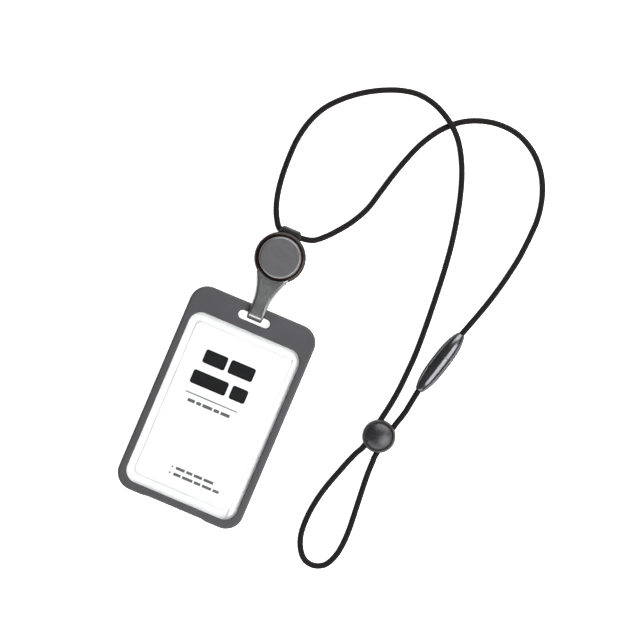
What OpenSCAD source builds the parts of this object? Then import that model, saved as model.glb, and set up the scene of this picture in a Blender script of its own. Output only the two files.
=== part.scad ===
// Badge holder on a neck lanyard with a retractable reel, laid flat, face up.
// +Y runs up the holder towards the reel, +X to the right, +Z away from the surface.
// The origin is under the middle of the holder, strap and reel, on the surface.

/* [Holder] */
// Width of the holder
holder_w = 70; // [64:1:90]
// Height of the holder
holder_h = 114; // [106:1:150]
// Thickness of the holder
holder_t = 5.6; // [5.4:0.1:9]
// Corner radius of the holder
holder_r = 9.6; // [8:0.2:14]
// Width of the frame's two side bars
side_bar = 4.1; // [3.6:0.1:7]
// Height of the frame's bottom bar
bottom_bar = 4.5; // [4:0.1:8]
// Height of the frame's top bar, which holds the slot
top_bar = 14.1; // [13:0.1:20]
// Corner radius of the window
window_r = 6.8; // [4:0.2:8]
// Thickness of the holder's back wall
back_floor = 1.6; // [1.2:0.1:2]
// Thickness of the clear window pane
pane_t = 1; // [0.8:0.1:1.5]
// Width of the slot that the hook passes through
slot_w = 17.4; // [14:0.2:24]
// Height of the slot
slot_h = 4.5; // [4.2:0.1:6]
// Width of the bar that the hook holds, between the slot and the top edge
bar_w = 4.8; // [4:0.1:5]
// Width of the thumb opening in the back
thumb_w = 18; // [14:1:24]
// Height of the thumb opening in the back
thumb_h = 26; // [20:1:40]
// Width of the shallow finger relief in the bottom edge
relief_w = 36; // [20:1:44]

/* [Card] */
// Width of the card
card_w = 54; // [48:1:56]
// Height of the card
card_h = 86; // [70:1:90]
// Thickness of the card
card_t = 0.8; // [0.4:0.1:1]
// Corner radius of the card
card_r = 3.2; // [2:0.1:4]

/* [Reel] */
// Radius of the reel at its rim
rim_r = 13.5; // [13:0.1:18]
// Radius of the flat back of the reel
reel_back_r = 10.4; // [9.8:0.1:10.8]
// Thickness of the reel between its back face and its rim's front
reel_t = 6.2; // [6:0.1:9]
// Radius of the front cap
cap_r = 10.95; // [10.8:0.05:11.2]
// Height of the front cap above the rim
cap_h = 2.2; // [1.6:0.1:4]
// Radius of the axle
axle_r = 1.5; // [1.2:0.1:1.8]
// Radius of the spool's flanges
flange_r = 10.7; // [10.2:0.1:10.8]
// Radius of the spool's drum
drum_r = 5.5; // [4.5:0.1:6]
// Radius of the pulled line
line_r = 0.35; // [0.25:0.05:0.4]

/* [Sliding clip] */
// Thickness of the clip's plate
clip_t = 3.2; // [3.2:0.1:4]
// Room beside the cord inside the hood
hood_room = 0.35; // [0.3:0.05:1.5]
// Width of the hood along its top edge
hood_w = 9.6; // [8:0.2:12]
// Wall of the hood
hood_wall = 0.95; // [0.8:0.05:1.2]
// Radius of the plate's round lower end
clip_r = 7.9; // [7:0.1:9]
// Width of the slot that shows the rod and its spring
clip_slot_w = 4; // [3.6:0.1:4.4]
// Travel of the clip
clip_travel = 4; // [3:0.1:4]

/* [Strap] */
// Distance from the hook's hinge line to the reel's centre
strap_reach = 29.9; // [28:0.1:36]
// Width of the hook
hook_w = 8.6; // [6:0.1:10]
// Width of the strap's head at the reel
head_w = 16.8; // [14:0.1:18]
// Inner radius of the hook
hook_r = 2.7; // [2.7:0.05:3.2]
// Thickness of the hook
hook_t = 1.5; // [1.2:0.05:1.5]

/* [Lanyard] */
// Radius of the lanyard's cord
cord_r = 1.6; // [1.4:0.05:2]
// Radius of the cord lock
lock_r = 8.8; // [8.4:0.1:11]
// Radius of the lock's button
button_r = 7; // [6.8:0.1:7.2]
// Travel of the lock's button
button_travel = 1.4; // [1:0.1:1.6]
// Length of the breakaway clasp
clasp_l = 36.7; // [36:0.1:37]
// Largest radius of the breakaway clasp
clasp_r = 4.8; // [4.2:0.05:5.4]

/* [Hidden] */
$fn = 96;

fit = 0.1;       // gap round a piece that stays put
run_fit = 0.06;  // radial gap of a shaft that turns or slides
press_fit = 0.02;// radial gap of a shaft that is fixed
slide_gap = 0.2; // gap between faces that slide past each other
seam = 0.05;     // gap between two faces that meet
cut = 1;         // how far a cut runs past a face

// Layers of the reel, from the back up
reel_z = clip_t + slide_gap;
rim_z = reel_z + reel_t;
bevel_h = 4.2;
bevel_wall = 0.5;
rim_edge = 0.5;
shell_z = reel_z + bevel_h;
shell_wall = 1.25;
floor_t = 1;
spool_z = reel_z + 2.2;
spool_top = rim_z - floor_t - 0.1;
flange_t = 0.5;
line_z = (spool_z + spool_top) / 2;
wound_r = flange_r - 0.8;
groove_r = 9.5;
groove_w = 1.1;
groove_d = 0.5;
cap_floor = 1.2;
cap_edge = 0.7;
axle_slot = 0.4;
tab_w = 3;
tab_y = 8.9;
tab_t = 0.6;
tab_h = 0.9;
eyelet_r = 1.3;
eyelet_bore = 0.55;
eyelet_edge = 0.3;
eyelet_in = rim_r - 1.6;
eyelet_out = rim_r + 0.2;

// The cord in the hood rests on the clip's plate and just clears the reel's bevel
cord_gap = 0.114;
hood_cord_z = clip_t + seam + cord_r;
bevel_w = rim_r - reel_back_r;
hood_cord = reel_back_r
    + ((cord_r + cord_gap) * norm([bevel_w, bevel_h]) + (hood_cord_z - reel_z) * bevel_w) / bevel_h;
hood_reach = hood_cord + cord_r + hood_room + hood_wall;

// Places along Y: the strap and the holder hang from the reel, where the cord passes
reel_y = 62.5;
hinge_y = reel_y - strap_reach;
top_y = hinge_y + bar_w / 2;
holder_y = top_y - holder_h / 2;
low_y = top_y - holder_h;
slot_y = top_y - bar_w - slot_h / 2;
window_w = holder_w - 2 * side_bar;
window_h = holder_h - top_bar - bottom_bar;
window_y = low_y + bottom_bar + window_h / 2;

// Layers of the holder, from the back up
liner_floor = 0.6;
card_z = back_floor + liner_floor + fit;
liner_top = card_z + card_t + fit;
pane_z = liner_top + seam;
lip_z = pane_z + pane_t + seam;
split_drop = 0.3;
split_z = card_z + card_t - split_drop;
liner_lap = 0.8;
pane_lap = 1.2;
relief_d = 0.5;
thumb_up = 6;
thumb_y = window_y - card_h / 2 + thumb_h / 2 + thumb_up;

// The bar and the hook round it
bar_z = (split_z + holder_t) / 2;
bar_round = 2.55;
hook_out = hook_r + hook_t;
hook_z = max(hook_out, bar_z);
hook_drop = 1.3;
hook_back = 2.6;
tip_angle = 14;
hook_hole_r = 0.8;
arm_bend = hook_back + 2;
arm_top = hook_z + hook_out;
arm_low = hook_z + hook_r;
waist_y = 2.2;
side_curve = 33;

// The line from the spool to the strap: it bends just inside the back shell's bevel
lead_r = wound_r + line_r + seam;
bevel_in = reel_back_r - bevel_wall;
bevel_out = rim_r - shell_wall;
line_share = (line_z - line_r - reel_z - floor_t) / (bevel_h - floor_t);
lead_room = 0.3;
lead_bend = min(eyelet_in, bevel_in + (bevel_out - bevel_in) * line_share) - lead_room;
line_way = eyelet_in - lead_bend;
lead_turn = acos(lead_r / lead_bend);
crimp_r = 1.1;
crimp_l = 2.5;
crimp_floor = 0.6;
line_in_crimp = crimp_l - crimp_floor - 1.1;
dock_r = rim_r + 0.6;
dock_low = 2;
head_lap = 1.1;
head_gap = 0.15;
head_t = 1.45;
head_z = rim_z + head_gap;
head_top = head_z + head_t;
head_flat = 3.2;
head_step = 1;
head_inner = 8;

// The clip's rail, rod and spring
skin_t = 1.2;
rail_w = 8.4;
rail_neck = 5.6;
rail_head = 0.8;
rail_low = -6.5;
rail_high = 11;
rail_gap = 0.15;
rail_room = 0.3;
rail_z = skin_t + rail_gap;
trough_w = 2.8;
trough_top = clip_t - 0.2;
rod_z = 1.9;
rod_step = 1;
spring_solid = 3;
lug_y = rod_step + clip_travel + spring_solid;
rod_r = 1;
rod_tip_r = 0.5;
rod_tip = lug_y + 1.4;
post_w = 2.4;
post_y = -6;
rod_seat = post_y + 0.3;
rod_lap = 0.5;
skin_lap = 0.2;
clip_coil_r = 0.8;
clip_wire = 0.17;
clip_turns = 7;
screw_x = 2.1;
screw_low = rail_low + 2.4;
screw_high = rail_high - 1.5;
screw_r = 0.4;
screw_head_r = 0.62;
screw_head_h = 0.5;
screw_head_z = skin_t + 0.4;
clip_slot_low = -3.8;
clip_slot_high = 9.8;
clip_y = -0.8;
clip_cheek = clip_r - 0.4;
cheek_y = clip_y + 2;
waist_end = reel_back_r - 1;
hood_play = 0.4;
hood_flap = 1;
rim_gap = 0.35;
hood_h = clip_t + 2 * cord_r + hood_play + hood_flap;
hood_base = 12.6;
hood_side = 3;

// The cord lock
lock_x = 83.5;
lock_y = -2.8;
lock_turn = 10;
web = 0.5;
lock_spring_r = 1.4;
spring_room = 0.2;
hole_r = cord_r + 0.2;
hole_gap = hole_r + web + spring_room + lock_spring_r;
lock_floor = 0.8;
lock_cord_z = lock_floor + button_travel + seam + web + hole_r;
lock_rim = 1.4;
lock_h = lock_cord_z + hole_r + lock_rim;
lock_low_edge = 0.8;
lock_high_edge = 0.9;
lock_edge_h = 1.2;
button_wall = 0.8;
lock_wire = 0.22;
lock_wire_gap = 0.03;
lock_turns = 5;
dome_h = 2.3;
dome_rise = 2.1;
dome_bow = (pow(button_r, 2) + pow(dome_rise, 2)) / 2 / dome_rise;

// The breakaway clasp
clasp_x = 97.8;
clasp_y = 45;
clasp_turn = 14.5;
clasp_end_r = cord_r + 0.4;
clasp_steps = 16;
cord_in = 8;
ferrule_l = 4;
ferrule_wall = 0.5;
clasp_seam = 0.06;
tongue_low = -5.5;
tongue_high = 3.5;
tongue_r = 2.5;
tongue_side = -0.8;

// Points on the cord inside the lock and the clasp: side is -1 or 1, s runs along the hole
function lock_at(side, s) = [
    lock_x + side * hole_gap * cos(lock_turn) + s * sin(lock_turn),
    lock_y - side * hole_gap * sin(lock_turn) + s * cos(lock_turn),
    lock_cord_z];
function clasp_at(s) = [
    clasp_x + s * sin(clasp_turn),
    clasp_y + s * cos(clasp_turn),
    clasp_r];

// The cord's route: from the clasp down through the lock, round the small loop, up the left
// strand, over the crossing, through the hood and round the right loop
hood_cord_y = reel_y + hood_cord;
lie = cord_r;
route = [
    clasp_at(-clasp_l / 2 + cord_in), clasp_at(-clasp_l / 2), [91, 13.2, 4.6],
    lock_at(1, 9.6), lock_at(1, -9.6),
    [85.7, -16.4, 4], [85.8, -23, 3], [86.3, -30, 2.1], [87, -38, lie], [87.7, -46, lie],
    [88.3, -54, lie], [88.2, -62, lie], [87, -69.2, lie], [83.8, -75.4, lie],
    [78.5, -78, lie], [73, -77, lie], [68.8, -72.4, lie], [66.3, -66, lie], [65.6, -58, lie],
    [66.1, -50, lie], [67.5, -42, lie], [69.6, -34.2, lie], [71.9, -27.2, 2.1], [74.1, -20.5, 3],
    [76.3, -14.9, 4.1],
    lock_at(-1, -9.6), lock_at(-1, 9.6),
    [82.6, 14.6, 4.3], [83.7, 24, 3.4], [84.2, 34, 2.2], [84.4, 45, lie], [83.9, 57, lie],
    [83.1, 69, lie], [82.1, 81, lie], [80.9, 93, lie], [79.2, 105, lie], [76.8, 117, lie],
    [73.7, 129, lie], [70.3, 139, lie], [66, 148, 2.2], [61.3, 155, 3.8], [57.3, 159.1, 4.8],
    [53, 162.4, 4.8], [47.4, 165.6, 3.6], [41, 168, 2.2], [33, 169, lie], [24.1, 167.4, lie],
    [14.6, 163.5, lie], [5.2, 157.8, lie], [-3.1, 150.7, lie], [-9.6, 142.8, lie],
    [-13.8, 133.4, lie], [-15.9, 123, lie], [-16.2, 112, lie], [-15.5, 101, lie],
    [-14.1, 92.6, 2.1], [-12.1, 86, 3.2],
    [-9.6, 80.8, 4.2], [-6.2, hood_cord_y + 0.4, hood_cord_z], [-2.4, hood_cord_y, hood_cord_z],
    [2.4, hood_cord_y, hood_cord_z], [6.4, hood_cord_y + 0.1, hood_cord_z],
    [12.2, 77.6, 4.3], [17.1, 81.6, 3.2], [21.8, 87, 2.2], [27.4, 94.8, lie], [31.9, 104, lie],
    [34.5, 114, lie], [37.1, 124.5, lie], [40.4, 135.4, lie], [44.7, 146.4, lie],
    [51.2, 156.8, lie], [59.2, 164.4, lie], [68.5, 169, lie], [79, 171, lie], [90, 169.7, lie],
    [100.1, 164.3, lie], [107.7, 156.2, lie], [112.9, 145.7, lie], [115.4, 134, lie],
    [115.4, 122, lie]];
tail_route = [
    [115.4, 122, lie], [114.5, 111, lie], [112.5, 99, lie], [109.8, 87, 2.2], [106.3, 75, 3.6],
    clasp_at(clasp_l / 2), clasp_at(clasp_l / 2 - cord_in)];

// A round tube along a list of points
function unit(v) = v / norm(v);
function heading(p, i) =
    unit(p[min(i + 1, len(p) - 1)] - p[max(i - 1, 0)]);
function ring(p, i, r, sides) =
    let (ahead = heading(p, i), side = unit(cross([0, 0, 1], ahead)), up = cross(ahead, side))
    [for (k = [0 : sides - 1])
        let (a = 360 * (k + 0.5) / sides)
        p[i] + r * (cos(a) * side + sin(a) * up)];
module tube(p, r, sides = 8) {
    n = len(p);
    corners = [for (i = [0 : n - 1]) each ring(p, i, r, sides)];
    walls = [for (i = [0 : n - 2]) for (k = [0 : sides - 1])
        let (m = (k + 1) % sides, a = i * sides, b = a + sides)
        each [[a + k, a + m, b + m], [a + k, b + m, b + k]]];
    start = [for (k = [0 : sides - 1]) sides - 1 - k];
    finish = [for (k = [0 : sides - 1]) (n - 1) * sides + k];
    polyhedron(corners, concat(walls, [start, finish]), convexity = 10);
}

// A coil spring along +Z, made of a round wire
module coil(r, wire, length, turns) {
    steps = 10 * turns;
    tube([for (i = [0 : steps])
        let (a = 360 * turns * i / steps)
        [r * cos(a), r * sin(a), wire + (length - 2 * wire) * i / steps]], wire, 5);
}

module round_rect(w, h, r) {
    square([w - 2 * r, h], center = true);
    square([w, h - 2 * r], center = true);
    for (x = [-1, 1], y = [-1, 1])
        translate([x * (w / 2 - r), y * (h / 2 - r)])
            circle(r);
}

module block(w, h, r, y, z0, z1)
    translate([0, y, z0])
        linear_extrude(z1 - z0)
            round_rect(w, h, r);

module stadium(w, h, y, z0, z1)
    block(w, h, min(w, h) / 2 - 0.01, y, z0, z1);

// The holder

// Openings that both shells share: the card's mouth, the finger relief and the slot
module holder_cuts() {
    mouth_w = card_w + 2 * fit;
    translate([-mouth_w / 2, low_y - cut, card_z - fit])
        cube([mouth_w, bottom_bar + cut, card_t + 2 * fit]);
    translate([-relief_w / 2, low_y - cut, -cut])
        cube([relief_w, relief_d + cut, holder_t + 2 * cut]);
    stadium(slot_w, slot_h, slot_y, -cut, holder_t + cut);
}

module bar_space(z0, z1)
    translate([-slot_w / 2 + slot_h / 2, slot_y, z0])
        cube([slot_w - slot_h, slot_h / 2 + bar_w + cut, z1 - z0]);

module holder_back() color("dimgray")
    difference() {
        block(holder_w, holder_h, holder_r, holder_y, 0, split_z);
        block(window_w + 2 * (liner_lap + fit), window_h + 2 * (liner_lap + fit),
              window_r, window_y, back_floor, split_z + cut);
        stadium(thumb_w, thumb_h, thumb_y, -cut, back_floor + cut);
        bar_space(-cut, split_z + cut);
        holder_cuts();
    }

module holder_frame() color("dimgray") {
    difference() {
        block(holder_w, holder_h, holder_r, holder_y, split_z + seam, holder_t);
        block(window_w, window_h, window_r, window_y, lip_z - cut, holder_t + cut);
        block(window_w + 2 * (pane_lap + fit), window_h + 2 * (pane_lap + fit),
              window_r + pane_lap, window_y, split_z - cut, lip_z);
        bar_space(split_z - cut, holder_t + cut);
        holder_cuts();
    }
    intersection() {
        translate([-slot_w / 2, hinge_y - bar_w / 2, split_z + seam])
            cube([slot_w, bar_w, holder_t - split_z - seam]);
        translate([-slot_w / 2, hinge_y, bar_z])
            rotate([0, 90, 0])
                cylinder(r = bar_round, h = slot_w);
    }
}

module holder_liner() color("white")
    difference() {
        block(window_w + 2 * liner_lap, window_h + 2 * liner_lap, window_r - fit,
              window_y, back_floor + seam, liner_top);
        translate([-card_w / 2 - fit, window_y - window_h / 2 - liner_lap - cut, card_z - fit])
            cube([card_w + 2 * fit, window_h / 2 + card_h / 2 + liner_lap + cut + fit, card_t + cut]);
        stadium(thumb_w, thumb_h, thumb_y, 0, card_z);
    }

module window_pane() color([0.9, 0.95, 1, 0.4])
    block(window_w + 2 * pane_lap, window_h + 2 * pane_lap, window_r + pane_lap - fit,
          window_y, pane_z, pane_z + pane_t);

module id_card() color("whitesmoke")
    block(card_w, card_h, card_r, window_y, card_z, card_z + card_t);

// The strap and its hook, drawn from the hinge line

module strap_outline() {
    translate([-hook_w / 2, -hook_drop])
        square([hook_w, waist_y + hook_drop]);
    difference() {
        translate([-head_w / 2, waist_y])
            square([head_w, strap_reach - waist_y - head_inner]);
        for (x = [-1, 1])
            translate([x * (hook_w / 2 + side_curve), waist_y])
                circle(side_curve, $fn = 180);
    }
}

// Side view: x here is the distance from the hinge line towards the reel
module strap_side() {
    dock_y = strap_reach - dock_r;
    polygon([
        [-hook_drop, arm_low], [arm_bend, arm_low],
        [dock_y - head_flat, line_z - dock_low], [strap_reach, line_z - dock_low],
        [strap_reach, head_top], [dock_y - head_step, head_top],
        [hook_back, arm_top], [-hook_drop, arm_top]]);
}

module hook_side() {
    difference() {
        union() {
            translate([-hook_drop, hook_z])
                circle(hook_out);
            translate([-hook_drop, 0])
                square([hook_drop + hook_back, hook_t]);
            translate([hook_back, hook_z])
                circle(hook_out);
        }
        translate([-hook_drop, hook_z])
            circle(hook_r);
        translate([hook_back, hook_z])
            circle(hook_r);
        translate([-hook_drop, hook_t])
            square([hook_drop + hook_back, arm_top]);
        translate([-hook_drop, hook_z + sin(tip_angle) * hook_r])
            square([hook_drop + hook_back + hook_out, arm_top]);
    }
    intersection() {
        difference() {
            translate([-hook_drop, hook_z])
                circle(hook_out);
            translate([-hook_drop, hook_z])
                circle(hook_r);
        }
        translate([-hook_drop - hook_out, 0])
            square([hook_out, arm_top]);
    }
}

module across(w)
    rotate([90, 0, 90])
        translate([0, 0, -w / 2])
            linear_extrude(w)
                children();

module strap_hook() color("gray")
    translate([0, hinge_y, 0])
        difference() {
            union() {
                intersection() {
                    across(head_w)
                        strap_side();
                    linear_extrude(head_top + cut)
                        strap_outline();
                }
                across(hook_w)
                    hook_side();
            }
            translate([0, strap_reach, 0]) {
                cylinder(r = rim_r - head_lap, h = head_top + cut);
                translate([0, 0, -cut])
                    cylinder(r = dock_r, h = head_z + cut);
            }
            translate([0, strap_reach - dock_r - crimp_l - fit, line_z])
                rotate([-90, 0, 0])
                    cylinder(r = crimp_r + press_fit, h = crimp_l + cut + fit);
            translate([0, -hook_drop, hook_z])
                rotate([135, 0, 0])
                    cylinder(r = hook_hole_r, h = hook_out + cut);
        }

module line_crimp() color("gold")
    translate([0, reel_y - dock_r - crimp_l, line_z])
        rotate([-90, 0, 0])
            difference() {
                cylinder(r = crimp_r, h = crimp_l);
                translate([0, 0, crimp_floor])
                    cylinder(r = line_r + fit, h = crimp_l);
            }

// The reel

module at_reel(z = 0)
    translate([0, reel_y, z])
        children();

// The eyelet's seat, with a narrower way for the line behind it
module eyelet_seat()
    translate([0, -eyelet_in, line_z])
        rotate([90, 0, 0]) {
            cylinder(r = eyelet_r + press_fit, h = rim_r - eyelet_in + cut);
            translate([0, 0, -line_way])
                cylinder(r = line_r + fit, h = line_way + cut);
        }

// The four screws' places, which the rail and the back shell share
module at_screws(z)
    for (x = [-screw_x, screw_x], y = [screw_low, screw_high])
        translate([x, y, z])
            children();

module screw_holes()
    at_screws(screw_head_z)
        cylinder(r = screw_r + press_fit, h = reel_z + floor_t + cut - screw_head_z, $fn = 32);

module reel_back_shell() color("#2a1f1c")
    at_reel()
        difference() {
            rotate_extrude()
                polygon([
                    [axle_r + press_fit, reel_z], [reel_back_r, reel_z], [rim_r, shell_z],
                    [bevel_out, shell_z], [bevel_in, reel_z + floor_t],
                    [axle_r + press_fit, reel_z + floor_t]]);
            eyelet_seat();
            screw_holes();
        }

module reel_front_shell() color("#2a1f1c")
    at_reel()
        difference() {
            rotate_extrude()
                polygon([
                    [axle_r + press_fit, rim_z - floor_t], [bevel_out, rim_z - floor_t],
                    [bevel_out, shell_z + seam], [rim_r, shell_z + seam],
                    [rim_r, rim_z - rim_edge], [rim_r - rim_edge, rim_z],
                    [groove_r + groove_w, rim_z], [groove_r + groove_w, rim_z - groove_d],
                    [groove_r - fit, rim_z - groove_d], [groove_r - fit, rim_z],
                    [axle_r + press_fit, rim_z]]);
            eyelet_seat();
        }

module reel_cap() color("#6b6b6e")
    at_reel()
        rotate_extrude()
            polygon([
                [0, rim_z + cap_floor], [groove_r, rim_z + cap_floor], [groove_r, rim_z - groove_d + seam],
                [groove_r + groove_w - fit, rim_z - groove_d + seam],
                [groove_r + groove_w - fit, rim_z + seam], [cap_r, rim_z + seam],
                [cap_r, rim_z + cap_h - cap_edge], [cap_r - cap_edge, rim_z + cap_h], [0, rim_z + cap_h]]);

module reel_axle() color("silver")
    at_reel(reel_z + fit)
        difference() {
            cylinder(r = axle_r, h = reel_t - 2 * fit);
            translate([-axle_slot / 2, 0, floor_t])
                cube([axle_slot, axle_r + cut, spool_z - reel_z - floor_t - 3 * fit]);
        }

module reel_spool() color("ivory")
    at_reel()
        union() {
            rotate_extrude()
                polygon([
                    [axle_r + run_fit, spool_z], [flange_r, spool_z],
                    [flange_r, spool_z + flange_t], [drum_r, spool_z + flange_t],
                    [drum_r, spool_top - flange_t], [flange_r, spool_top - flange_t],
                    [flange_r, spool_top], [axle_r + run_fit, spool_top]]);
            translate([-tab_w / 2, tab_y, spool_z - tab_h])
                cube([tab_w, tab_t, tab_h + fit]);
        }

module wound_line() color("#303030")
    at_reel(spool_z + flange_t + seam)
        difference() {
            cylinder(r = wound_r, h = spool_top - spool_z - 2 * (flange_t + seam));
            translate([0, 0, -cut])
                cylinder(r = drum_r + seam, h = reel_t);
        }

// The power spring: a flat strip wound from the axle out to the spool
function spiral(i, steps, turns, inner, outer) =
    let (r = inner + (outer - inner) * i / steps, a = 360 * turns * i / steps - 90)
    [r * cos(a), r * sin(a)];

module power_spring() color("steelblue") {
    turns = 5.5;
    steps = 20 * turns;
    inner = axle_r + 0.4;
    strip = 0.3;
    outer = tab_y - strip - 0.2;
    at_reel(reel_z + floor_t + fit)
        linear_extrude(spool_z - reel_z - floor_t - 4 * fit)
            polygon(concat(
                [for (i = [0 : steps]) spiral(i, steps, turns, inner, outer)],
                [for (i = [steps : -1 : 0]) spiral(i, steps, turns, inner + strip, outer + strip)]));
}

module line_eyelet() color("silver")
    at_reel()
        translate([0, 0, line_z])
            rotate([90, 0, 0])
                rotate_extrude()
                    polygon([
                        [eyelet_bore, eyelet_in + fit], [eyelet_r, eyelet_in + fit],
                        [eyelet_r, eyelet_out], [eyelet_bore + eyelet_edge, eyelet_out],
                        [eyelet_bore, eyelet_out - eyelet_edge]]);

module line_lead() color("#303030")
    at_reel()
        tube([
            [lead_r * sin(lead_turn), -lead_r * cos(lead_turn), line_z],
            [0, -lead_bend, line_z],
            [0, -dock_r - crimp_l + line_in_crimp, line_z]], line_r);

// The sliding clip on the reel's back

module clip_rail() color("gray")
    at_reel()
        difference() {
            union() {
                translate([-rail_w / 2, rail_low, rail_z])
                    cube([rail_w, rail_high - rail_low, rail_head]);
                translate([-rail_neck / 2, rail_low, rail_z])
                    cube([rail_neck, rail_high - rail_low, reel_z - seam - rail_z]);
            }
            translate([-trough_w / 2, rail_low - cut, 0])
                cube([trough_w, lug_y - rail_low + cut, trough_top]);
            translate([0, lug_y - cut, rod_z])
                rotate([-90, 0, 0])
                    cylinder(r = rod_tip_r + run_fit, h = rail_high - lug_y + 2 * cut);
            screw_holes();
            at_screws(0)
                cylinder(r = screw_head_r + seam, h = screw_head_z + screw_head_h + seam, $fn = 32);
        }

module rail_screws() color("silver")
    at_reel()
        at_screws(screw_head_z) {
            cylinder(r = screw_head_r, h = screw_head_h, $fn = 32);
            cylinder(r = screw_r, h = reel_z + floor_t - fit - screw_head_z, $fn = 32);
        }

module clip_outline(half, base) {
    polygon([
        [-clip_cheek, cheek_y], [-base, waist_end], [-base, hood_reach - hood_side],
        [-half, hood_reach], [half, hood_reach], [base, hood_reach - hood_side],
        [base, waist_end], [clip_cheek, cheek_y]]);
    translate([0, clip_y])
        circle(clip_r);
}

module clip_plate() color("dimgray")
    at_reel()
        difference() {
            union() {
                difference() {
                    linear_extrude(hood_h)
                        clip_outline(hood_w / 2, hood_base / 2);
                    translate([-hood_base, -hood_reach, clip_t])
                        cube([2 * hood_base, 2 * hood_reach - hood_wall, 2 * cord_r + hood_play]);
                    translate([0, 0, clip_t])
                        cylinder(r = rim_r + rim_gap, h = hood_h);
                    translate([-hood_base, -hood_reach, clip_t])
                        cube([2 * hood_base, hood_reach + reel_back_r, hood_h]);
                    translate([-rail_w / 2 - fit, -hood_reach, skin_t])
                        cube([rail_w + 2 * fit, hood_reach + rail_high + rail_room, rail_head + rail_room]);
                    translate([-rail_neck / 2 - slide_gap, -hood_reach, skin_t])
                        cube([rail_neck + 2 * slide_gap, hood_reach + rail_high + rail_room, clip_t]);
                    translate([0, (clip_slot_low + clip_slot_high) / 2, -cut])
                        linear_extrude(skin_t + 2 * cut)
                            round_rect(clip_slot_w, clip_slot_high - clip_slot_low,
                                       clip_slot_w / 2 - 0.01);
                }
                translate([-post_w / 2, post_y, skin_t - skin_lap])
                    cube([post_w, clip_slot_low - post_y, trough_top - skin_t]);
            }
            translate([0, rod_seat, rod_z])
                rotate([-90, 0, 0])
                    cylinder(r = rod_r + press_fit, h = -post_y);
        }

module clip_rod() color("silver")
    at_reel()
        translate([0, 0, rod_z])
            rotate([-90, 0, 0]) {
                translate([0, 0, rod_seat + press_fit])
                    cylinder(r = rod_r, h = rod_step - rod_seat - press_fit);
                translate([0, 0, rod_step - rod_lap])
                    cylinder(r = rod_tip_r, h = rod_tip - rod_step + rod_lap);
            }

module clip_spring() color("silver")
    at_reel()
        translate([0, rod_step + seam, rod_z])
            rotate([-90, 0, 0])
                coil(clip_coil_r, clip_wire, lug_y - rod_step - 2 * seam, clip_turns);

// The cord lock

module at_lock()
    translate([lock_x, lock_y, 0])
        rotate([0, 0, -lock_turn])
            children();

// A hole along the cord on each side, long enough to pass through the whole lock
module cord_holes(r, rise)
    for (x = [-1, 1])
        translate([x * hole_gap, 0, lock_cord_z + rise])
            rotate([90, 0, 0])
                cylinder(r = r, h = 2 * lock_r + 2 * cut, center = true, $fn = 48);

module lock_housing() color("#3c3634")
    at_lock()
        difference() {
            rotate_extrude()
                polygon([
                    [0, 0], [lock_r - lock_low_edge, 0], [lock_r, lock_edge_h],
                    [lock_r, lock_h - lock_edge_h], [lock_r - lock_high_edge, lock_h], [button_r + run_fit, lock_h],
                    [button_r + run_fit, lock_floor], [0, lock_floor]]);
            cord_holes(hole_r, 0);
        }

module lock_button() color("#47464a")
    at_lock()
        difference() {
            intersection() {
                translate([0, 0, lock_floor + button_travel + seam])
                    cylinder(r = button_r, h = lock_h);
                translate([0, 0, lock_h + dome_h - dome_bow])
                    sphere(dome_bow, $fn = 128);
            }
            cord_holes(hole_r, 0);
            cord_holes(hole_r, button_travel);
            for (x = [-1, 1])
                translate([x * hole_gap - hole_r, -lock_r, lock_cord_z])
                    cube([2 * hole_r, 2 * lock_r, button_travel]);
            cylinder(r = lock_spring_r + spring_room, h = lock_h - button_wall, $fn = 48);
        }

module lock_spring() color("silver")
    at_lock()
        translate([0, 0, lock_floor + seam])
            coil(lock_spring_r - lock_wire - lock_wire_gap, lock_wire,
                 lock_h - button_wall - lock_floor - 2 * seam, lock_turns);

// The breakaway clasp

module at_clasp()
    translate([clasp_x, clasp_y, clasp_r])
        rotate([0, 0, -clasp_turn])
            children();

// The barrel's radius at a share of its half length: full in the middle and round to each end
function clasp_radius(share) =
    clasp_end_r + (clasp_r - clasp_end_r) * (1 - pow(abs(share), 3));

module clasp_body()
    rotate([-90, 0, 0])
        rotate_extrude()
            difference() {
                polygon(concat(
                    [[0, -clasp_l / 2]],
                    [for (i = [-clasp_steps : clasp_steps])
                        [clasp_radius(i / clasp_steps), i / clasp_steps * clasp_l / 2]],
                    [[0, clasp_l / 2]]));
                for (y = [-1, 1])
                    mirror([0, y > 0 ? 0 : 1])
                        translate([0, clasp_l / 2 - cord_in - fit]) {
                            square([cord_r + fit, cord_in + 2 * fit + cut]);
                            square([cord_r + ferrule_wall + fit, ferrule_l + 2 * fit]);
                        }
            }

// The lower half's outline seen from above, with its round-ended tongue on the right
module clasp_split(grow) {
    wide = 2 * clasp_r;
    translate([-wide, -clasp_l])
        square([2 * wide, clasp_l + tongue_low + grow]);
    translate([tongue_side - grow, tongue_low - cut])
        square([wide, tongue_high - tongue_r - tongue_low + cut]);
    translate([tongue_side + tongue_r, tongue_low - cut])
        square([wide, tongue_high - tongue_low + cut + grow]);
    translate([tongue_side + tongue_r, tongue_high - tongue_r])
        circle(tongue_r + grow);
}

module clasp_lower() color("#4a4a4f")
    at_clasp()
        intersection() {
            clasp_body();
            translate([0, 0, -2 * clasp_r])
                linear_extrude(4 * clasp_r)
                    clasp_split(0);
        }

module clasp_upper() color("#4a4a4f")
    at_clasp()
        difference() {
            clasp_body();
            translate([0, 0, -2 * clasp_r])
                linear_extrude(4 * clasp_r)
                    clasp_split(clasp_seam);
        }

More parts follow.
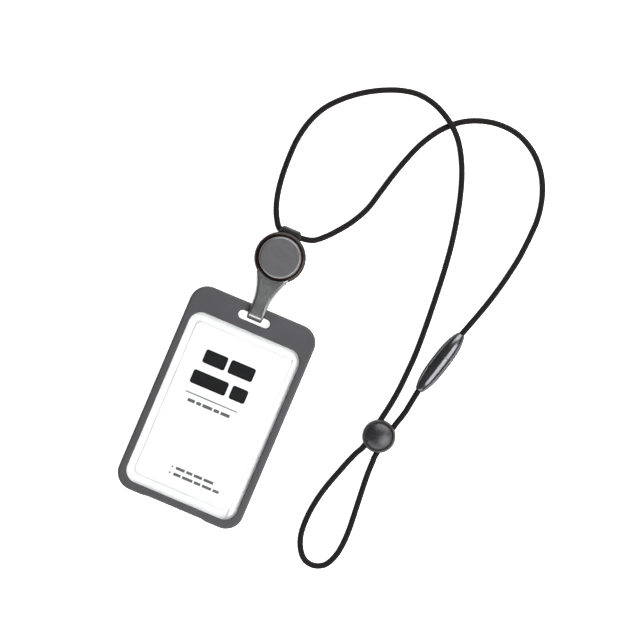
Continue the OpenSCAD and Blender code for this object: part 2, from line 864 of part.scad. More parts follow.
module ferrule(side)
    at_clasp()
        rotate([side * -90, 0, 0])
            translate([0, 0, clasp_l / 2 - cord_in])
                difference() {
                    cylinder(r = cord_r + ferrule_wall, h = ferrule_l, $fn = 48);
                    translate([0, 0, -cut])
                        cylinder(r = cord_r + press_fit, h = ferrule_l + 2 * cut, $fn = 48);
                }

module lower_ferrule() color("silver")
    ferrule(-1);

module upper_ferrule() color("silver")
    ferrule(1);

module lanyard_cord() color("#231f1e")
    tube(route, cord_r);

module lanyard_tail() color("#231f1e")
    tube(tail_route, cord_r);

holder_frame();
holder_back();
holder_liner();
window_pane();
id_card();
strap_hook();
line_crimp();
reel_back_shell();
reel_front_shell();
reel_cap();
reel_axle();
reel_spool();
wound_line();
power_spring();
line_eyelet();
line_lead();
clip_rail();
rail_screws();
clip_plate();
clip_rod();
clip_spring();
lock_housing();
lock_button();
lock_spring();
clasp_lower();
clasp_upper();
lower_ferrule();
upper_ferrule();
lanyard_cord();
lanyard_tail();
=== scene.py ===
"""Badge holder on a neck lanyard with a retractable reel, lying face up: the looks round the CAD frame."""
import bpy
import bmesh
import math
from mathutils import Matrix, Vector, geometry


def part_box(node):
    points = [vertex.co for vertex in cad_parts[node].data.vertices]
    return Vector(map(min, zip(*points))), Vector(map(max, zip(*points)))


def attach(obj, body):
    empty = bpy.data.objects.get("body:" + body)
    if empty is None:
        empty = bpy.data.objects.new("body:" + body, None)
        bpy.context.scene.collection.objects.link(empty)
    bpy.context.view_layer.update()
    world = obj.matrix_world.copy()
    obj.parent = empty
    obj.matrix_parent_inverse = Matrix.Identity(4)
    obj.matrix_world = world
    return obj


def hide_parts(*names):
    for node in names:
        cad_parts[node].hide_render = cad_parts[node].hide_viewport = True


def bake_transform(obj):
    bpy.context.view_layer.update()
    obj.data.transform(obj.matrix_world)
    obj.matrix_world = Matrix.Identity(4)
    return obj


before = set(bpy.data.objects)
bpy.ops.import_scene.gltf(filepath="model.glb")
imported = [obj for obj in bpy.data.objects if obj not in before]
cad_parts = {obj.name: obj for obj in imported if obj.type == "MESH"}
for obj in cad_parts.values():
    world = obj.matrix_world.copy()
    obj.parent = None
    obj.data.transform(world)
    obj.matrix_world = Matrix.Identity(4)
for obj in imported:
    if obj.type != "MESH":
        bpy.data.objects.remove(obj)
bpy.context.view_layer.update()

MM = 0.001
PHOTO_TURN = math.radians(23)  # the camera is turned by this about the vertical
VIEW_WIDTH = 333.3 * MM        # what the picture's width covers
VIEW_CENTRE = (31.7 * MM, 40.9 * MM)


def mm(*values):
    return tuple(v * MM for v in values)


# ------------ places, from the frame
holder_low, holder_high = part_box("holder_back")
frame_low, frame_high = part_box("holder_frame")
pane_low, pane_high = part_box("window_pane")
card_low, card_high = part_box("id_card")
cap_low, cap_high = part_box("reel_cap")
front_low, front_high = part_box("reel_front_shell")
back_low, back_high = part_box("reel_back_shell")
housing_low, housing_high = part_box("lock_housing")
button_low, button_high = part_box("lock_button")
hood_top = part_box("clip_plate")[1].z
strap_top_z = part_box("strap_hook")[1].z

BAR_W = 4.8 * MM                      # the bar that the hook holds
HINGE_Y = holder_high.y - BAR_W / 2
REEL = Vector((0, (back_low.y + back_high.y) / 2, 0))
RIM_R = (back_high.x - back_low.x) / 2
CAP_R = (cap_high.x - cap_low.x) / 2
LOCK = Vector(((housing_low.x + housing_high.x) / 2, (housing_low.y + housing_high.y) / 2, 0))
LOCK_R = (housing_high.x - housing_low.x) / 2
LOCK_TURN = math.radians(10)
CLASP_R = 4.8 * MM
CLASP = Vector(mm(97.8, 45, CLASP_R / MM))
CLASP_TURN = math.radians(14.5)
CLASP_L = 36.7 * MM


# ------------ camera, first
def make_camera():
    distance = 3.0
    sensor = 36.0
    camera = bpy.data.objects.new("camera", bpy.data.cameras.new("camera"))
    bpy.context.scene.collection.objects.link(camera)
    camera.data.sensor_width = sensor
    camera.data.lens = sensor * distance / VIEW_WIDTH
    camera.data.clip_start = 0.1
    camera.data.clip_end = 100
    camera.location = (*VIEW_CENTRE, distance)
    camera.rotation_euler = (0, 0, PHOTO_TURN)
    bpy.context.scene.camera = camera


make_camera()


# ------------ mesh helpers
def link(name, mesh):
    piece = bpy.data.objects.new(name, mesh)
    bpy.context.scene.collection.objects.link(piece)
    return piece


def band(bm, rings):
    """Faces between each ring of corners and the next."""
    n = len(rings[0])
    for a, b in zip(rings, rings[1:]):
        for i in range(n):
            k = (i + 1) % n
            bm.faces.new((a[i], a[k], b[k], b[i]))


def from_bmesh(name, bm, sharp=40):
    """A piece from a bmesh, smooth but for edges sharper than that many degrees."""
    bmesh.ops.remove_doubles(bm, verts=bm.verts, dist=1e-7)
    bmesh.ops.recalc_face_normals(bm, faces=bm.faces)
    for face in bm.faces:
        face.smooth = True
    for edge in bm.edges:
        if len(edge.link_faces) == 2 and edge.calc_face_angle() > math.radians(sharp):
            edge.smooth = False
    mesh = bpy.data.meshes.new(name)
    bm.to_mesh(mesh)
    bm.free()
    return link(name, mesh)


def modify(piece, kind, **settings):
    """Adds a modifier and applies it, so that the mesh is final."""
    modifier = piece.modifiers.new(kind.lower(), kind)
    for key, value in settings.items():
        setattr(modifier, key, value)
    graph = bpy.context.evaluated_depsgraph_get()
    graph.update()
    made = bpy.data.meshes.new_from_object(piece.evaluated_get(graph))
    piece.modifiers.clear()
    old, piece.data = piece.data, made
    bpy.data.meshes.remove(old)
    return piece


def bevel(piece, width, segments=2, angle=30):
    modify(piece, "BEVEL", width=width, segments=segments, limit_method="ANGLE",
           angle_limit=math.radians(angle), harden_normals=False)
    for polygon in piece.data.polygons:
        polygon.use_smooth = True
    return modify(piece, "WEIGHTED_NORMAL", keep_sharp=True, weight=100)


def cut_away(piece, cutter, operation="DIFFERENCE"):
    modify(piece, "BOOLEAN", object=cutter, operation=operation, solver="EXACT")
    bpy.data.objects.remove(cutter)
    return piece


def join(pieces, name):
    """Several pieces as one mesh."""
    bm = bmesh.new()
    for piece in pieces:
        bm.from_mesh(piece.data)
    mesh = bpy.data.meshes.new(name)
    bm.to_mesh(mesh)
    bm.free()
    for piece in pieces:
        bpy.data.objects.remove(piece)
    return link(name, mesh)


def arc(cx, cy, r, start, end, steps):
    """Points on an arc, angles in degrees."""
    return [(cx + r * math.cos(math.radians(start + (end - start) * i / steps)),
             cy + r * math.sin(math.radians(start + (end - start) * i / steps)))
            for i in range(steps + 1)]


def rounded_box(w, h, r, cx=0, cy=0, steps=10, along=0):
    """A rounded rectangle's outline, anticlockwise, with extra points along its sides."""
    corners = [(cx + w / 2 - r, cy - h / 2 + r, -90), (cx + w / 2 - r, cy + h / 2 - r, 0),
               (cx - w / 2 + r, cy + h / 2 - r, 90), (cx - w / 2 + r, cy - h / 2 + r, 180)]
    out = []
    for i, (x, y, start) in enumerate(corners):
        out += arc(x, y, r, start, start + 90, steps)
        nx, ny, nstart = corners[(i + 1) % 4]
        first, last = Vector(out[-1]), Vector(arc(nx, ny, r, nstart, nstart, 1)[0])
        out += [tuple(first.lerp(last, k / (along + 1))) for k in range(1, along + 1)]
    return out


def inset(loop, d):
    """An anticlockwise loop moved inwards by d, or outwards where d is negative."""
    n = len(loop)
    out = []
    for i in range(n):
        a, b, c = Vector(loop[i - 1]), Vector(loop[i]), Vector(loop[(i + 1) % n])
        before, after = (b - a).normalized(), (c - b).normalized()
        side = Vector((-before.y - after.y, before.x + after.x))
        side.normalize()
        half = max(0.3, side.dot(Vector((-after.y, after.x))))
        out.append(tuple(b + side * (d / half)))
    return out


def walls(z0, z1, low_r=0.0, high_r=0.0, steps=4, border=0.3 * MM):
    """Levels (inset, z) up a plate's edge, with its lower and upper corners rounded.

    A narrow flat border follows each rounded corner, so that the edge colour (wear on some pieces, painted
    shade on others) stays at the edge.
    """
    angles = [math.radians(90 * i / steps) for i in range(steps + 1)]
    low = [(low_r - low_r * math.sin(a), z0 + low_r - low_r * math.cos(a)) for a in angles]
    high = [(high_r - high_r * math.cos(a), z1 - high_r + high_r * math.sin(a)) for a in angles]
    low = [(low_r + border, z0)] + low if low_r else [(0, z0)]
    high = high + [(high_r + border, z1)] if high_r else [(0, z1)]
    return low + high


def plate(name, outer, *holes):
    """A flat plate with holes. Each rim is (outline, levels), with levels as walls() makes them."""
    bm = bmesh.new()
    low, high = [], []
    for i, (loop, levels) in enumerate((outer, *holes)):
        way = 1 if i == 0 else -1
        rings = [[bm.verts.new((x, y, z)) for x, y in inset(loop, way * d)] for d, z in levels]
        band(bm, rings)
        low.append(rings[0])
        high.append(rings[-1])
    for rings in (low, high):
        flat = [v for ring in rings for v in ring]
        for triangle in geometry.tessellate_polygon([[v.co for v in ring] for ring in rings]):
            bm.faces.new([flat[i] for i in triangle])
    piece = from_bmesh(name, bm)
    return modify(piece, "WEIGHTED_NORMAL", keep_sharp=True, weight=100)


def lathe(name, profile, segments=96, centre=(0, 0, 0)):
    """A solid turned about a vertical axis from (radius, z) points, run round anticlockwise."""
    bm = bmesh.new()
    rings = []
    for r, z in profile:
        if r < 1e-9:
            rings.append([bm.verts.new((0, 0, z))])
        else:
            rings.append([bm.verts.new((r * math.cos(2 * math.pi * i / segments),
                                        r * math.sin(2 * math.pi * i / segments), z))
                          for i in range(segments)])
    for a, b in zip(rings, rings[1:] + rings[:1]):
        for i in range(segments):
            k = (i + 1) % segments
            corners = [a[i % len(a)], a[k % len(a)], b[k % len(b)], b[i % len(b)]]
            corners = list(dict.fromkeys(corners))
            if len(corners) > 2:
                bm.faces.new(corners)
    bmesh.ops.translate(bm, verts=bm.verts, vec=centre)
    return from_bmesh(name, bm, 30)


def mm_pairs(points):
    return [mm(*p) for p in points]


def drill(piece, profile, place, segments=40):
    """Cuts a round hole, with (radius, z) points in millimetres along the z of its place."""
    hole = lathe("hole", mm_pairs(profile), segments)
    hole.data.transform(place)
    cut_away(piece, hole)


def softened(profile, r, steps=3):
    """A closed (radius, z) profile with each corner rounded by r."""
    out = []
    n = len(profile)
    for i in range(n):
        a, b, c = (Vector(profile[(i + k) % n]) for k in (-1, 0, 1))
        before, after = a - b, c - b
        reach = min(r, before.length * 0.45, after.length * 0.45)
        p, q = b + before.normalized() * reach, b + after.normalized() * reach
        straight = before.normalized().dot(after.normalized()) < -0.985
        if straight or b.x < 1e-9:
            out.append(tuple(b))
            continue
        if before.length > 4 * r:
            out.append(tuple(p + before.normalized() * r))
        for k in range(steps + 1):
            t = k / steps
            out.append(tuple(p * (1 - t) ** 2 + b * 2 * t * (1 - t) + q * t * t))
        if after.length > 4 * r:
            out.append(tuple(q + after.normalized() * r))
    return out


def catmull(points, step):
    """A smooth line through the points, as points about step apart."""
    pts = [Vector(p) for p in points]
    pts = [pts[0] * 2 - pts[1]] + pts + [pts[-1] * 2 - pts[-2]]
    fine = []
    for i in range(1, len(pts) - 2):
        p0, p1, p2, p3 = pts[i - 1:i + 3]
        k0, k1, k2 = ((b - a).length ** 0.5 for a, b in ((p0, p1), (p1, p2), (p2, p3)))
        m1 = (p1 - p0) / k0 - (p2 - p0) / (k0 + k1) + (p2 - p1) / k1
        m2 = (p2 - p1) / k1 - (p3 - p1) / (k1 + k2) + (p3 - p2) / k2
        m1, m2 = m1 * k1, m2 * k1
        for j in range(24):
            t = j / 24
            fine.append(p1 * (2 * t ** 3 - 3 * t ** 2 + 1) + m1 * (t ** 3 - 2 * t ** 2 + t)
                        + p2 * (3 * t ** 2 - 2 * t ** 3) + m2 * (t ** 3 - t ** 2))
    fine.append(pts[-2])
    lengths = [0.0]
    for a, b in zip(fine, fine[1:]):
        lengths.append(lengths[-1] + (b - a).length)
    count = max(2, round(lengths[-1] / step))
    out, k = [], 0
    for i in range(count + 1):
        s = lengths[-1] * i / count
        while k < len(fine) - 2 and lengths[k + 1] < s:
            k += 1
        share = (s - lengths[k]) / max(1e-12, lengths[k + 1] - lengths[k])
        out.append(fine[k].lerp(fine[k + 1], min(1.0, share)))
    return out, lengths[-1]


def sweep(name, path, radius, sides, ripple=0.0, turns_length=1.0):
    """A round tube with closed ends. Ripple lowers every other corner, as a braid's strands do."""
    bm = bmesh.new()
    uv = bm.loops.layers.uv.new("braid")
    side = Vector((0, 0, 1)).cross(path[1] - path[0]).normalized()
    rings, along = [], 0.0
    runs = []
    for i, p in enumerate(path):
        ahead = (path[min(i + 1, len(path) - 1)] - path[max(i - 1, 0)]).normalized()
        side = (side - ahead * side.dot(ahead)).normalized()
        up = ahead.cross(side)
        if i:
            along += (p - path[i - 1]).length
        runs.append(along)
        ring = []
        for k in range(sides):
            r = radius - ripple * ((i + k) % 2)
            a = 2 * math.pi * k / sides
            ring.append(bm.verts.new(p + side * (r * math.cos(a)) + up * (r * math.sin(a))))
        rings.append(ring)
    for i in range(len(path) - 1):
        for k in range(sides):
            m = (k + 1) % sides
            face = bm.faces.new((rings[i][k], rings[i][m], rings[i + 1][m], rings[i + 1][k]))
            face.smooth = True
            spots = [(k, i), (k + 1, i), (k + 1, i + 1), (k, i + 1)]
            for loop, (a, b) in zip(face.loops, spots):
                loop[uv].uv = (a / sides, runs[b] / turns_length)
    bm.faces.new(list(reversed(rings[0])))
    bm.faces.new(rings[-1])
    mesh = bpy.data.meshes.new(name)
    bm.to_mesh(mesh)
    bm.free()
    return link(name, mesh)


# ------------ node helpers
class Look:
    """A procedural material: a Principled shader with its colour, roughness and bump from nodes."""

    def __init__(self, name, colour, rough, metal=0.0, specular=0.5):
        self.material = bpy.data.materials.new(name)
        self.material.use_nodes = True
        self.tree = self.material.node_tree
        self.shader = self.tree.nodes["Principled BSDF"]
        self.rough = rough
        self.shader.inputs["Metallic"].default_value = metal
        self.shader.inputs["Specular IOR Level"].default_value = specular
        self.coords = self.node("ShaderNodeTexCoord").outputs["Object"]
        self.height = None
        self.tint = colour

    def node(self, kind, **values):
        made = self.tree.nodes.new(kind)
        for key, value in values.items():
            if hasattr(made, key):
                setattr(made, key, value)
            else:
                made.inputs[key].default_value = value
        return made

    def feed(self, value, socket):
        """Links a node's output to a socket, or sets the socket to a number or a colour."""
        if isinstance(value, bpy.types.NodeSocket):
            self.tree.links.new(value, socket)
        else:
            socket.default_value = (*value, 1) if isinstance(value, tuple) else value
        return self

    def mapped(self, scale, location=(0, 0, 0)):
        mapping = self.node("ShaderNodeMapping", Location=location, Scale=scale)
        self.feed(self.coords, mapping.inputs["Vector"])
        return mapping.outputs["Vector"]

    def noise(self, scale, detail=3.0, stretch=(1, 1, 1)):
        """Noise with features about 1/scale metres across."""
        texture = self.node("ShaderNodeTexNoise", Scale=scale, Detail=detail)
        self.feed(self.mapped(stretch), texture.inputs["Vector"])
        return texture.outputs["Fac"]

    def spread(self, source, low, high, start=0.3, end=0.7):
        """A value that runs from low to high as the source goes from start to end."""
        made = self.node("ShaderNodeMapRange", clamp=True)
        for key, value in (("From Min", start), ("From Max", end), ("To Min", low), ("To Max", high)):
            made.inputs[key].default_value = value
        self.feed(source, made.inputs["Value"])
        return made.outputs["Result"]

    def math(self, operation, *values):
        made = self.node("ShaderNodeMath", operation=operation)
        for value, socket in zip(values, made.inputs):
            self.feed(value, socket)
        return made.outputs[0]

    def blend(self, factor, first, second, mode="MIX"):
        made = self.node("ShaderNodeMix", data_type="RGBA", blend_type=mode, clamp_factor=True)
        self.feed(factor, made.inputs["Factor"]).feed(first, made.inputs[6]).feed(second, made.inputs[7])
        return made.outputs[2]

    def vary(self, source, low, high):
        """Colour between low and high times the look's own colour."""
        shade = self.blend(self.spread(source, 0, 1), (low,) * 3, (high,) * 3)
        self.tint = self.blend(1, self.tint, shade, "MULTIPLY")
        return self

    def edge_wear_and_shade(self, colour, amount=0.5):
        """Edges, where the mesh's edge attribute is high, take another colour: wear on some pieces, painted
        shade on the holder, card and clasp.
        """
        attribute = self.node("ShaderNodeAttribute", attribute_name="edge_wear_and_shade")
        broken = self.spread(self.noise(900, 4), 0.2, 1)
        factor = self.math("MULTIPLY", self.math("MULTIPLY", attribute.outputs["Fac"], broken), amount)
        self.tint = self.blend(factor, self.tint, colour)
        return self

    def roughness(self, source, low, high):
        self.feed(self.spread(source, low, high), self.shader.inputs["Roughness"])
        return self

    def bump(self, source, depth):
        """Bumps of about that depth in metres."""
        made = self.node("ShaderNodeBump", Strength=1.0, Distance=depth)
        self.feed(source, made.inputs["Height"])
        if self.height:
            self.feed(self.height, made.inputs["Normal"])
        self.height = made.outputs["Normal"]
        return self

    def done(self):
        self.feed(self.tint, self.shader.inputs["Base Color"])
        if not self.shader.inputs["Roughness"].is_linked:
            self.shader.inputs["Roughness"].default_value = self.rough
        if self.height:
            self.feed(self.height, self.shader.inputs["Normal"])
        return self.material


def moulded(name, colour, rough, texture=0.03, specular=0.5, wear_and_shade_colour=None):
    """Moulded plastic: a fine sparked texture, faint flow marks and an edge colour, which is wear on some
    pieces and painted edge shade on the holder and the card.
    """
    look = Look(name, colour, rough, specular=specular)
    grain = look.noise(5200, 3)
    cloud = look.noise(90, 4)
    look.vary(cloud, 0.93, 1.07).vary(grain, 0.94, 1.06)
    look.roughness(look.noise(420, 5), rough - 0.05, rough + 0.07)
    look.bump(grain, texture * MM)
    # edges take another colour: wear on some pieces, painted shade on the holder and the card
    if wear_and_shade_colour:
        look.edge_wear_and_shade(wear_and_shade_colour, 0.55)
    return look.done()


def coated(name, colour, rough, metal, stretch=(1, 1, 1), wear_and_shade_colour=None, specular=0.5, grain_depth=0.002):
    """Satin coated metal with a brushed grain."""
    look = Look(name, colour, rough, metal=metal, specular=specular)
    grain = look.noise(900, 4, stretch)
    look.vary(look.noise(120, 3), 0.95, 1.05).vary(grain, 0.97, 1.03)
    look.roughness(grain, rough - 0.03, rough + 0.04)
    look.bump(look.noise(4200, 3, stretch), grain_depth * MM)
    if wear_and_shade_colour:
        look.edge_wear_and_shade(wear_and_shade_colour, 0.6)
    return look.done()


def clear_plastic(name):
    """A clear pane: light goes straight through, and its faces mirror a little."""
    look = Look(name, (1, 1, 1), 0)
    clear = look.node("ShaderNodeBsdfTransparent", Color=(0.985, 0.99, 0.99, 1))
    gloss = look.node("ShaderNodeBsdfGlossy", Color=(1, 1, 1, 1))
    haze = look.node("ShaderNodeTexNoise", Scale=60)
    look.feed(look.coords, haze.inputs["Vector"])
    look.feed(look.spread(haze.outputs["Fac"], 0.03, 0.1, 0, 1), gloss.inputs["Roughness"])
    mix = look.node("ShaderNodeMixShader")
    look.feed(look.node("ShaderNodeFresnel", IOR=1.2).outputs["Fac"], mix.inputs["Fac"])
    look.feed(clear.outputs["BSDF"], mix.inputs[1]).feed(gloss.outputs["BSDF"], mix.inputs[2])
    look.feed(mix.outputs["Shader"], look.tree.nodes["Material Output"].inputs["Surface"])
    look.tree.nodes.remove(look.shader)
    return look.material


def braided(name, colour, strands, rough=0.62):
    """A braided cord: yarns cross in diamonds, and each has its own fibres. Its colour is painted darker in
    the grooves between yarns and lighter on their crowns, as painted shade and highlight.
    """
    look = Look(name, colour, rough, specular=0.12)
    uv = look.node("ShaderNodeUVMap", uv_map="braid").outputs["UV"]
    parts = look.node("ShaderNodeSeparateXYZ")
    look.feed(uv, parts.inputs["Vector"])
    around = look.math("MULTIPLY", parts.outputs["X"], strands)
    along = parts.outputs["Y"]
    left = look.math("ADD", around, along)
    right = look.math("SUBTRACT", around, along)
    humps = [look.math("ABSOLUTE", look.math("SINE", look.math("MULTIPLY", way, math.pi)))
             for way in (left, right)]
    weave = look.math("MULTIPLY", *humps)
    yarns = look.math("SINE", look.math("MULTIPLY", left, math.pi * 8))
    fuzz = look.noise(6000, 4)
    # weave paints shade into the grooves between yarns and lighter crowns; fuzz is random tone
    look.vary(weave, 0.55, 1.45).vary(fuzz, 0.8, 1.2)
    look.roughness(fuzz, rough - 0.08, rough + 0.15)
    look.bump(weave, 0.1 * MM)
    look.bump(yarns, 0.012 * MM)
    look.bump(fuzz, 0.02 * MM)
    return look.done()


# ------------ materials
# Holder: its rounded edges are painted darker, a painted shade along the edges
HOLDER = moulded("holder_plastic", (0.046, 0.0445, 0.049), 0.5, texture=0.02, specular=0.3,
                 wear_and_shade_colour=(0.022, 0.021, 0.024))
LINER = moulded("liner_white", (0.83, 0.83, 0.83), 0.5, texture=0.004)
# Card: its edges are painted grey, a painted shadow of the gap round the card
CARD = moulded("card_white", (0.81, 0.81, 0.81), 0.32, texture=0.002, wear_and_shade_colour=(0.55, 0.55, 0.55))
PRINT = moulded("card_print", (0.008, 0.008, 0.009), 0.6, texture=0.002, specular=0.15)
PALE_PRINT = moulded("card_line", (0.09, 0.09, 0.09), 0.45, texture=0.002)
PANE = clear_plastic("clear_pane")
STRAP = coated("strap_metal", (0.235, 0.238, 0.24), 0.3, 0.85, (1, 0.5, 1), (0.28, 0.28, 0.28))
CAP = coated("cap_metal", (0.14, 0.14, 0.144), 0.34, 0.6, wear_and_shade_colour=(0.24, 0.24, 0.24), grain_depth=0.006)
RIM = moulded("reel_plastic", (0.012, 0.0065, 0.005), 0.2, texture=0.003, specular=0.35,
              wear_and_shade_colour=(0.022, 0.012, 0.01))
CLIP = coated("clip_metal", (0.009, 0.0085, 0.009), 0.26, 0.0, (1, 0.3, 1), (0.04, 0.04, 0.04), specular=0.25)
STEEL = coated("steel", (0.55, 0.55, 0.55), 0.25, 1.0)
BRASS = coated("brass", (0.6, 0.42, 0.18), 0.28, 1.0)
SPOOL = moulded("spool_plastic", (0.7, 0.67, 0.58), 0.5, texture=0.006)
SPRING = coated("spring_steel", (0.26, 0.28, 0.33), 0.3, 1.0)
LINE = moulded("line_black", (0.012, 0.012, 0.012), 0.6, texture=0.03)
LOCK_RING = moulded("lock_ring_plastic", (0.013, 0.0105, 0.0095), 0.3, texture=0.01, specular=0.35,
                    wear_and_shade_colour=(0.035, 0.03, 0.028))
CORD = braided("cord_black", (0.006, 0.0046, 0.0043), 8)


def turned_cap():
    """The lock's cap: dark plastic with rings turned round its middle, and radial streaks of painted
    highlight in its colour.
    """
    look = Look("lock_cap_plastic", (0.026, 0.026, 0.029), 0.32, metal=0.4)
    centred = look.mapped((1, 1, 1), (-LOCK.x, -LOCK.y, 0))
    parts = look.node("ShaderNodeSeparateXYZ")
    look.feed(centred, parts.inputs["Vector"])
    turn = look.math("ARCTAN2", parts.outputs["Y"], parts.outputs["X"])
    out = look.math("SQRT", look.math("ADD", look.math("POWER", parts.outputs["X"], 2.0),
                                      look.math("POWER", parts.outputs["Y"], 2.0)))
    polar = look.node("ShaderNodeCombineXYZ")
    look.feed(look.math("SINE", turn), polar.inputs["X"])
    look.feed(look.math("COSINE", turn), polar.inputs["Y"])
    fans = look.node("ShaderNodeTexNoise", Scale=5.0, Detail=4.0)
    look.feed(polar.outputs["Vector"], fans.inputs["Vector"])
    rings = look.math("SINE", look.math("MULTIPLY", out, 26000.0))
    # the fans paint radial highlight streaks into the colour, and also vary the roughness
    look.vary(fans.outputs["Fac"], 0.75, 1.35)
    look.roughness(fans.outputs["Fac"], 0.24, 0.42)
    look.bump(rings, 0.004 * MM)
    look.edge_wear_and_shade((0.06, 0.06, 0.065), 0.5)
    return look.done()


def glossy_clasp():
    """The clasp: high gloss over faint clouds in the plastic, with painted dark shade along its edges and
    seam.
    """
    look = Look("clasp_plastic", (0.1, 0.101, 0.106), 0.32, metal=0.85)
    look.shader.inputs["Specular Tint"].default_value = (0.05, 0.05, 0.05, 1)
    cloud = look.noise(260, 5, (1, 0.4, 1))
    look.vary(cloud, 0.8, 1.25)
    look.roughness(cloud, 0.16, 0.25)
    look.bump(look.noise(500, 2), 0.004 * MM)
    # edges and the seam painted near black: painted shade
    look.edge_wear_and_shade((0.008, 0.008, 0.009), 0.6)
    return look.done()


LOCK_CAP = turned_cap()
CLASP_LOOK = glossy_clasp()


def mark_edge_wear_and_shade(piece):
    """Writes how sharply the surface turns at each corner, for the edge colour: wear on some pieces, painted
    shade on the holder, card and clasp.
    """
    bm = bmesh.new()
    bm.from_mesh(piece.data)
    values = []
    for vertex in bm.verts:
        turns = [e.calc_face_angle_signed(0) for e in vertex.link_edges if len(e.link_faces) == 2]
        values.append(max(0.0, min(1.0, (max(turns, default=0) - 0.12) / 0.5)))
    bm.free()
    attribute = piece.data.attributes.new("edge_wear_and_shade", "FLOAT", "POINT")
    attribute.data.foreach_set("value", values)


def dress(piece, material, node=None):
    """Gives a finished piece its material and the CAD node it stands for."""
    piece.data.materials.clear()
    piece.data.materials.append(material)
    if node:
        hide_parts(node)


def finish_piece(piece, material, body, node=None, edge_wear_and_shade=True):
    """Dresses a piece that moves with one body, and marks its edges for the edge colour: wear, and painted
    shade on some pieces.
    """
    if edge_wear_and_shade:
        mark_edge_wear_and_shade(piece)
    dress(piece, material, node)
    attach(piece, body)


# ------------ the cords
CORD_R = 1.6 * MM
LIE = 1.6
HOOD_CORD_Y = REEL.y / MM + 13.6
HOOD_CORD_Z = 4.85
LOCK_CORD_Z = 4.55
HOLE_GAP = 3.9


def lock_at(side, s):
    """A point in the lock's hole on that side, s along it, in millimetres."""
    c, t = math.cos(LOCK_TURN), math.sin(LOCK_TURN)
    return (83.5 + side * HOLE_GAP * c + s * t, -2.8 - side * HOLE_GAP * t + s * c, LOCK_CORD_Z)


def clasp_at(s):
    """A point on the clasp's axis, s from its middle, in millimetres."""
    return (97.8 + s * math.sin(CLASP_TURN), 45 + s * math.cos(CLASP_TURN), CLASP_R / MM)


CLASP_HALF = CLASP_L / MM / 2
CORD_IN = 8
ROUTE = [
    clasp_at(-CLASP_HALF + CORD_IN), clasp_at(-CLASP_HALF), (91, 13.2, 4.6),
    lock_at(1, 9.6), lock_at(1, -9.6),
    (85.7, -16.4, 4), (85.8, -23, 3), (86.3, -30, 2.1), (87, -38, LIE), (87.7, -46, LIE),
    (88.3, -54, LIE), (88.2, -62, LIE), (87, -69.2, LIE), (83.8, -75.4, LIE),
    (78.5, -78, LIE), (73, -77, LIE), (68.8, -72.4, LIE), (66.3, -66, LIE), (65.6, -58, LIE),
    (66.1, -50, LIE), (67.5, -42, LIE), (69.6, -34.2, LIE), (71.9, -27.2, 2.1), (74.1, -20.5, 3),
    (76.3, -14.9, 4.1),
    lock_at(-1, -9.6), lock_at(-1, 9.6),
    (82.6, 14.6, 4.3), (83.7, 24, 3.4), (84.2, 34, 2.2), (84.4, 45, LIE), (83.9, 57, LIE),
    (83.1, 69, LIE), (82.1, 81, LIE), (80.9, 93, LIE), (79.2, 105, LIE), (76.8, 117, LIE),
    (73.7, 129, LIE), (70.3, 139, LIE), (66, 148, 2.2), (61.3, 155, 3.8), (57.3, 159.1, 4.8),
    (53, 162.4, 4.8), (47.4, 165.6, 3.6), (41, 168, 2.2), (33, 169, LIE), (24.1, 167.4, LIE),
    (14.6, 163.5, LIE), (5.2, 157.8, LIE), (-3.1, 150.7, LIE), (-9.6, 142.8, LIE),
    (-13.8, 133.4, LIE), (-15.9, 123, LIE), (-16.2, 112, LIE), (-15.5, 101, LIE),
    (-14.1, 92.6, 2.1), (-12.1, 86, 3.2),
    (-9.6, 80.8, 4.2), (-6.2, HOOD_CORD_Y + 0.4, HOOD_CORD_Z), (-2.4, HOOD_CORD_Y, HOOD_CORD_Z),
    (2.4, HOOD_CORD_Y, HOOD_CORD_Z), (6.4, HOOD_CORD_Y + 0.1, HOOD_CORD_Z),
    (12.2, 77.6, 4.3), (17.1, 81.6, 3.2), (21.8, 87, 2.2), (27.4, 94.8, LIE), (31.9, 104, LIE),
    (34.5, 114, LIE), (37.1, 124.5, LIE), (40.4, 135.4, LIE), (44.7, 146.4, LIE),
    (51.2, 156.8, LIE), (59.2, 164.4, LIE), (68.5, 169, LIE), (79, 171, LIE), (90, 169.7, LIE),
    (100.1, 164.3, LIE), (107.7, 156.2, LIE), (112.9, 145.7, LIE), (115.4, 134, LIE),
    (115.4, 122, LIE)]
TAIL_ROUTE = [
    (115.4, 122, LIE), (114.5, 111, LIE), (112.5, 99, LIE), (109.8, 87, 2.2), (106.3, 75, 3.6),
    clasp_at(CLASP_HALF), clasp_at(CLASP_HALF - CORD_IN)]

CORD_SIDES = 16
CORD_STEP = 0.6 * MM
CORD_RIPPLE = 0.09 * MM


def make_cord(name, route, node):
    path, length = catmull([mm(*p) for p in route], CORD_STEP)
    tube = sweep(name, path, CORD_R, CORD_SIDES, CORD_RIPPLE, 2 * CORD_STEP)
    dress(tube, CORD, node)
    return tube, path, length


cord, cord_path, cord_length = make_cord("neck_cord", ROUTE, "lanyard_cord")
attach(cord, "reel")
tail, tail_path, tail_length = make_cord("neck_cord_tail", TAIL_ROUTE, "lanyard_tail")
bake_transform(tail)


# ------------ the holder
def relieved(loop, y_edge, depth, half):
    """The bottom edge's shallow finger relief, as a change to an outline's lowest points."""
    out = []
    for x, y in loop:
        share = max(0.0, min(1.0, (half - abs(x)) / (3 * MM)))
        near = max(0.0, 1 - abs(y - y_edge) / (0.6 * MM))
        out.append((x, y + depth * near * share * share * (3 - 2 * share)))
    return out


